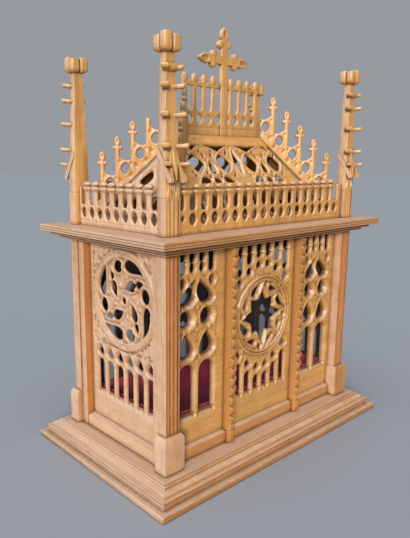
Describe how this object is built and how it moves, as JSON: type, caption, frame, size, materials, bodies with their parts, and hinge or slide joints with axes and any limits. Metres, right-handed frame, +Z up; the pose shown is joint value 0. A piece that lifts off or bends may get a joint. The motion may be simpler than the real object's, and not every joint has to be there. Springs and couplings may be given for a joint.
{
  "type": "gothic reliquary",
  "caption": "Neo-gothic carved wood reliquary: a glazed, velvet-lined case with pierced tracery, corner pinnacles, a hipped openwork roof and a cross.",
  "frame": {"origin": "centre of the base board's underside, on the ground", "axes": "+Z up; +X along the long side; the long carved front faces -Y and the carved short side faces -X"},
  "size_m": [0.62, 0.38, 0.779],
  "materials": {
    "oak_board": "waxed",
    "oak_carved": "waxed, carved",
    "oak_top": "waxed, sun-paled",
    "oak_side": "waxed",
    "clear_glass": "clear, polished",
    "crimson_velvet": "short pile"
  },
  "bodies": {
    "root": {"base_board": "oak_board", "base_moulding_front": "oak_board", "base_moulding_right": "oak_board", "base_moulding_back": "oak_board", "base_moulding_left": "oak_board", "floor_board": "oak_board", "corner_post_near_left": "oak_side", "corner_post_near_right": "oak_side", "corner_post_far_left": "oak_side", "corner_post_far_right": "oak_side", "foot_block_near_left": "oak_board", "foot_block_near_right": "oak_board", "foot_block_far_left": "oak_board", "foot_block_far_right": "oak_board", "tracery_panel_front_left": "oak_carved", "tracery_panel_front_right": "oak_carved", "tracery_panel_front_centre": "oak_carved", "tracery_panel_left_side": "oak_carved", "tracery_panel_right_side": "oak_carved", "wall_panel_back_left": "oak_board", "wall_panel_back_right": "oak_board", "wall_panel_back_centre": "oak_board", "pier_front_left": "oak_carved", "pier_front_right": "oak_carved", "pier_back_left": "oak_carved", "pier_back_right": "oak_carved", "foot_rail_front": "oak_board", "foot_rail_right": "oak_board", "foot_rail_back": "oak_board", "foot_rail_left": "oak_board", "glass_pane_front": "clear_glass", "glass_pane_right": "clear_glass", "glass_pane_back": "clear_glass", "glass_pane_left": "clear_glass", "velvet_lining": "crimson_velvet", "cornice_front": "oak_top", "cornice_right": "oak_top", "cornice_back": "oak_top", "cornice_left": "oak_top", "ceiling_board": "oak_top", "balustrade_front": "oak_carved", "balustrade_right": "oak_carved", "balustrade_back": "oak_carved", "balustrade_left": "oak_carved", "pinnacle_near_left": "oak_carved", "pinnacle_near_right": "oak_carved", "pinnacle_far_left": "oak_carved", "pinnacle_far_right": "oak_carved", "roof_slope_front": "oak_carved", "roof_slope_right": "oak_carved", "roof_slope_back": "oak_carved", "roof_slope_left": "oak_carved", "hip_crest_near_left": "oak_carved", "hip_crest_near_right": "oak_carved", "hip_crest_far_left": "oak_carved", "hip_crest_far_right": "oak_carved", "ridge_crest": "oak_carved", "cross": "oak_carved"}
  },
  "joints": []
}
